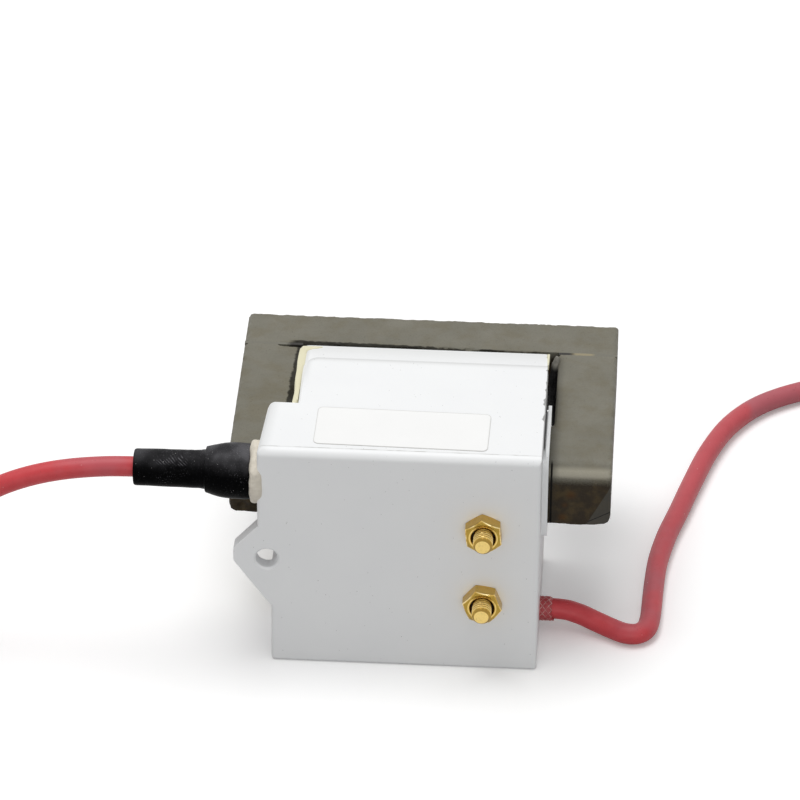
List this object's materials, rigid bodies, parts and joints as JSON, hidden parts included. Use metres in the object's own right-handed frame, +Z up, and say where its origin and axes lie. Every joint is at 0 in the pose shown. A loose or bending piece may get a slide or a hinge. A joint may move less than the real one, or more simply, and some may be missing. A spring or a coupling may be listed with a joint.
{
  "type": "flyback transformer",
  "caption": "Potted high-voltage transformer: white case round one limb of a ferrite ring, with stud terminals in front and red silicone leads at the sides.",
  "frame": {"origin": "middle of the case's base face", "axes": "+X to the right along the core's yoke, +Y from the stud face to the core's closing bar, +Z up"},
  "size_m": [0.2656, 0.1177, 0.0514],
  "materials": {
    "white_case": "satin moulded plastic with small specks",
    "resin": "cream casting resin",
    "ferrite": "dark grey sintered ferrite with chipped edges",
    "shim": "dark spacer sheet",
    "glue": "grey glue",
    "former": "white moulded plastic",
    "copper": "enamelled copper wire",
    "bobbin": "cream moulded plastic",
    "rectifier": "black moulded body",
    "brass": "turned brass",
    "label": "bare white label film",
    "collar": "cream sealing compound",
    "boot": "black heat-shrink sleeve",
    "lead": "red silicone rubber",
    "sleeve": "braided sleeve"
  },
  "bodies": {
    "root": {"case": "white_case", "potting_resin": "resin", "core_u": "ferrite", "core_bar": "ferrite", "gap_shim_left": "shim", "gap_shim_right": "shim", "core_glue": "glue", "coil_former": "former", "primary_winding": "copper", "secondary_bobbin": "bobbin", "secondary_winding": "copper", "hv_rectifier": "rectifier", "hv_link": "copper", "secondary_link": "copper", "return_link": "copper", "primary_link_upper": "copper", "primary_link_lower": "copper", "terminal_stud_upper": "brass", "terminal_stud_lower": "brass", "hex_nut_upper": "brass", "hex_nut_lower": "brass", "label": "label", "outlet_collar": "collar", "heat_shrink_boot": "boot", "hv_lead": "lead", "hv_lead_coil": "lead", "return_sleeve": "sleeve", "return_lead": "lead"}
  },
  "joints": []
}
